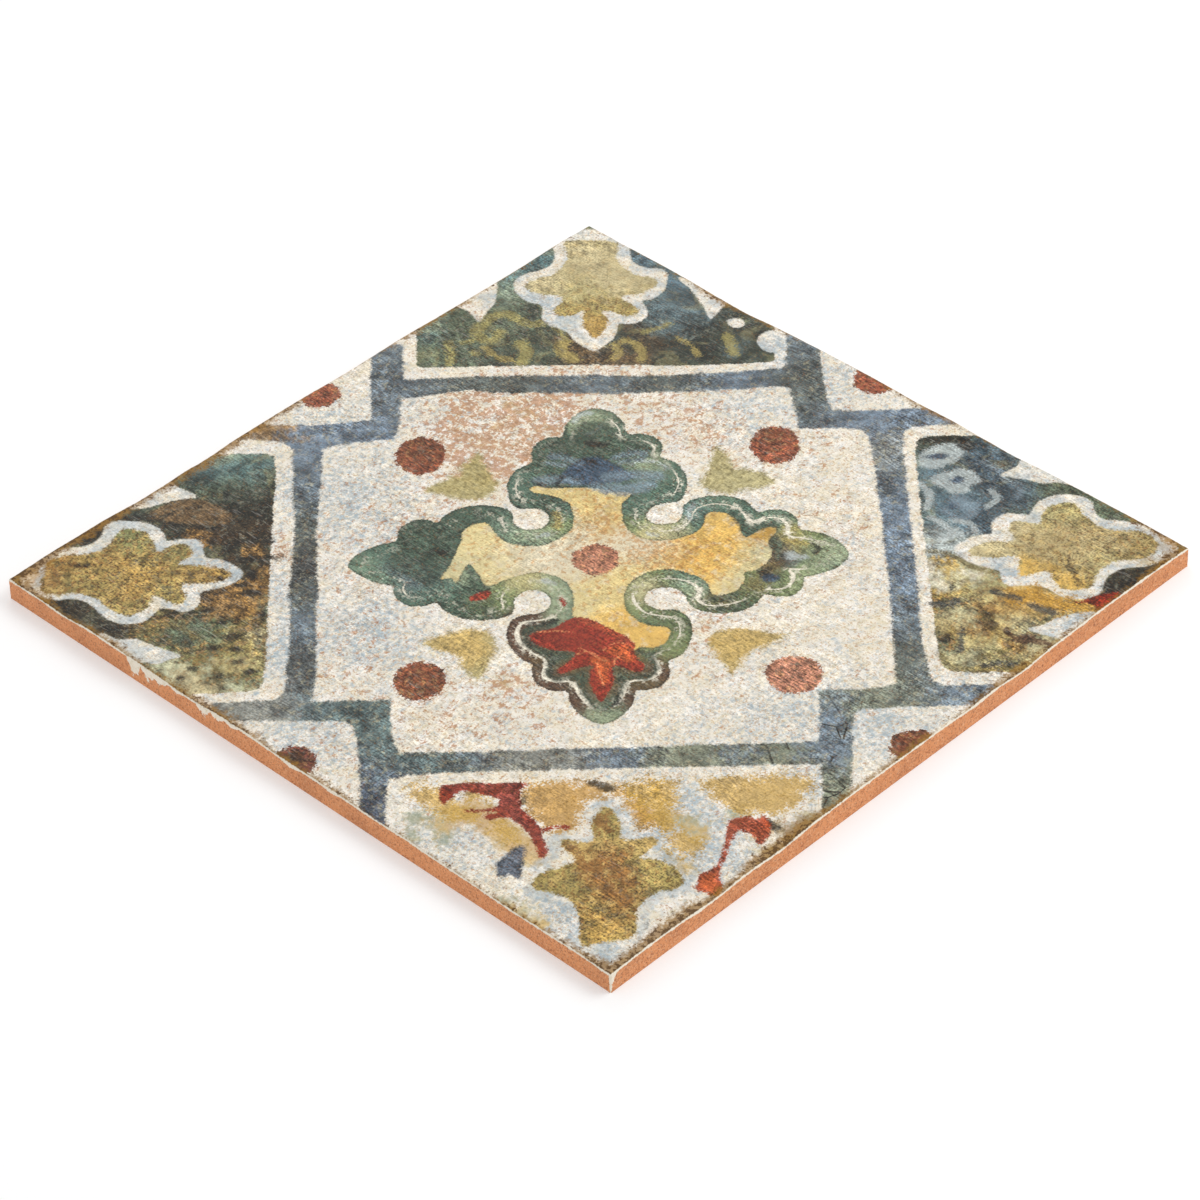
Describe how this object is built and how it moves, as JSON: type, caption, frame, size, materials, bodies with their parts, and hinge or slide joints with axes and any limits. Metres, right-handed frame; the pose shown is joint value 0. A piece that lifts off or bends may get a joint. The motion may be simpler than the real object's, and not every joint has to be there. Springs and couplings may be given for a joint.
{
  "type": "glazed ceramic wall tile",
  "caption": "Square pressed red-clay wall tile with a worn patterned glaze, gently rolling face edges and a keyed back.",
  "frame": {"origin": "middle of the back, on the plane of the rim and ribs that the tile rests on", "axes": "+Z out of the glazed face, X and Y along the sides; the printed design points at the corners"},
  "size_m": [0.3314, 0.3314, 0.0109],
  "materials": {
    "glazed_face": "satin worn glaze over red clay"
  },
  "bodies": {
    "root": {"tile": "glazed_face"}
  },
  "joints": []
}
